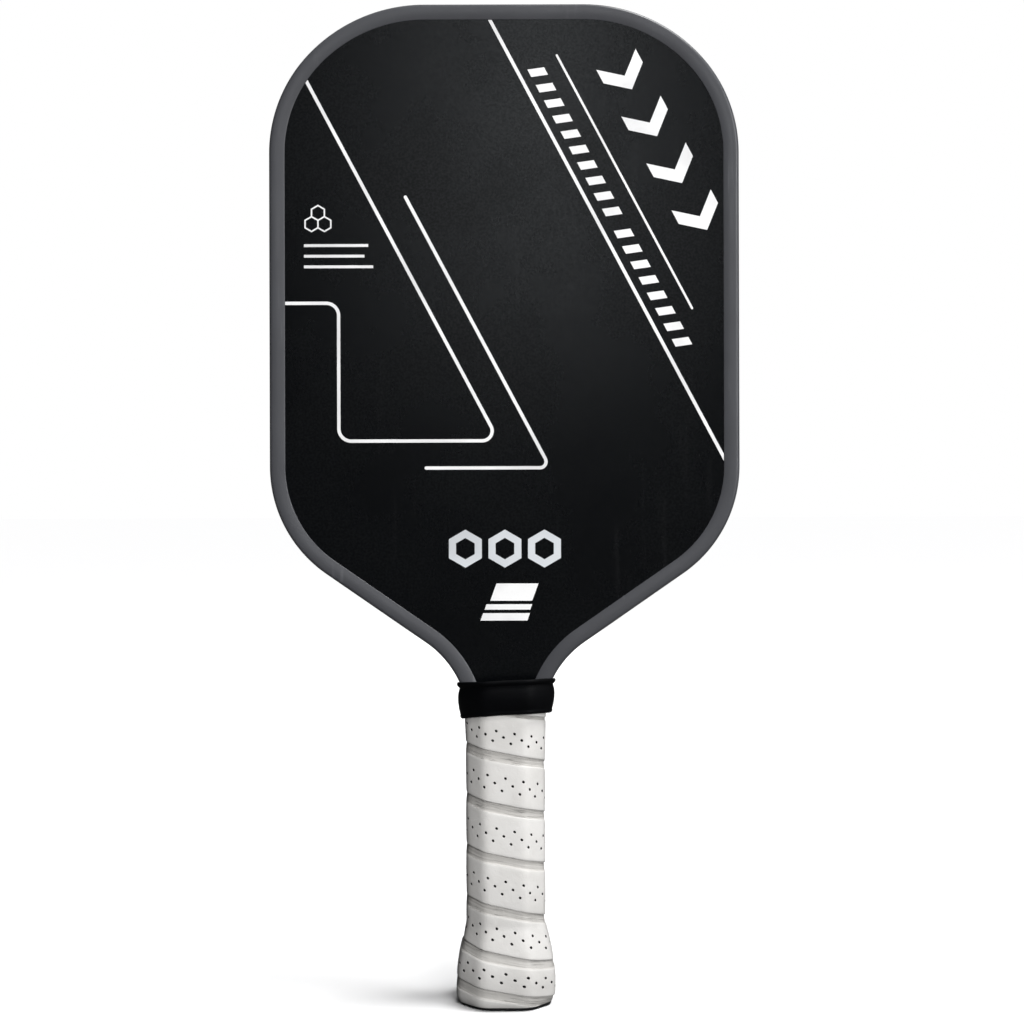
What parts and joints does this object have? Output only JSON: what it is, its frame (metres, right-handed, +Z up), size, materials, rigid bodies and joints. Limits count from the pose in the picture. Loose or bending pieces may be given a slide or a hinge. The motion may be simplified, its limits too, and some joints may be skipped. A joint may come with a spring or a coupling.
{
  "type": "pickleball paddle",
  "caption": "Pickleball paddle with a long rounded-rectangular carbon face, moulded edge guard, eight-sided wrapped grip, flared butt and a sliding rubber grip band.",
  "frame": {"origin": "centre of the flat underside of the butt cap, on which the paddle stands", "axes": "+Z up the handle to the top of the blade, +X to the right of the front face, the front face looks along -Y"},
  "size_m": [0.1906, 0.038, 0.405],
  "materials": {
    "core_polymer": "translucent matt",
    "bond_film": "matt",
    "carbon_skin": "matt peel-ply carbon",
    "white_ink": "satin ink",
    "silver_ink": "satin metallic ink",
    "guard_plastic": "satin",
    "foam_tape": "matt",
    "handle_foam": "matt",
    "cap_plastic": "satin",
    "staple_steel": "bright wire",
    "grip_foam": "matt",
    "grip_leather": "soft satin, perforated",
    "tape_film": "glossy",
    "band_rubber": "matt"
  },
  "bodies": {
    "paddle": {"honeycomb_core": "core_polymer", "front_bond_film": "bond_film", "rear_bond_film": "bond_film", "front_carbon_skin": "carbon_skin", "rear_carbon_skin": "carbon_skin", "front_print_white": "white_ink", "front_print_silver": "silver_ink", "rear_print_white": "white_ink", "edge_guard": "guard_plastic", "edge_guard_tape": "foam_tape", "front_handle_shell": "handle_foam", "rear_handle_shell": "handle_foam", "front_handle_glue": "bond_film", "rear_handle_glue": "bond_film", "butt_cap": "cap_plastic", "butt_cap_disc": "cap_plastic", "butt_cap_staples": "staple_steel", "grip_start_staple": "staple_steel", "grip_foam_backing": "grip_foam", "grip_wrap": "grip_leather", "finishing_tape": "tape_film"},
    "band": {"grip_band": "band_rubber"}
  },
  "joints": [
    {"name": "band_slide", "type": "slide", "parent": "paddle", "child": "band", "axis": [0, 0, -1], "range_m": [0, 0.02]}
  ]
}
